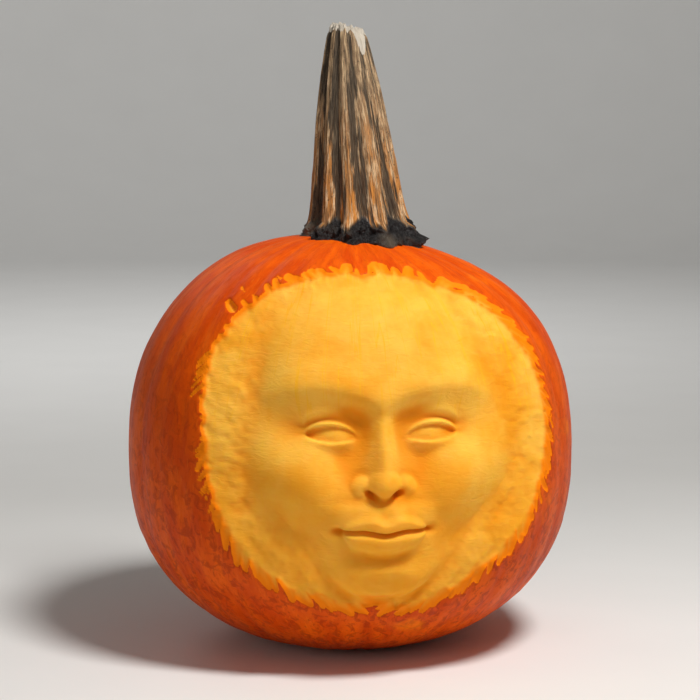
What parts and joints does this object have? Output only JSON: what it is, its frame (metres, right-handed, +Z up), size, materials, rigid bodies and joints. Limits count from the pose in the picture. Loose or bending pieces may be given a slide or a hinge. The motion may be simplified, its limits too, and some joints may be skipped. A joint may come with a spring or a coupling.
{
  "type": "carved pumpkin",
  "caption": "Whole pumpkin with a calm face carved in relief into a peeled window on its front, and a tall fluted stem; it stands on a flat spot.",
  "frame": {"origin": "middle of the flat spot that the pumpkin rests on", "axes": "+Z up along the fruit and its stem, -Y the way the face looks, +X to the viewer's right"},
  "size_m": [0.2894, 0.2868, 0.401],
  "materials": {
    "rind": "waxy semi-gloss orange skin with fine ribs and mottling",
    "flesh": "moist scraped yellow-orange flesh with fine tool marks",
    "stem": "dry woody stem, tan ridges, dark grooves and foot, pale broken tip"
  },
  "bodies": {
    "root": {"pumpkin": "rind"}
  },
  "joints": []
}
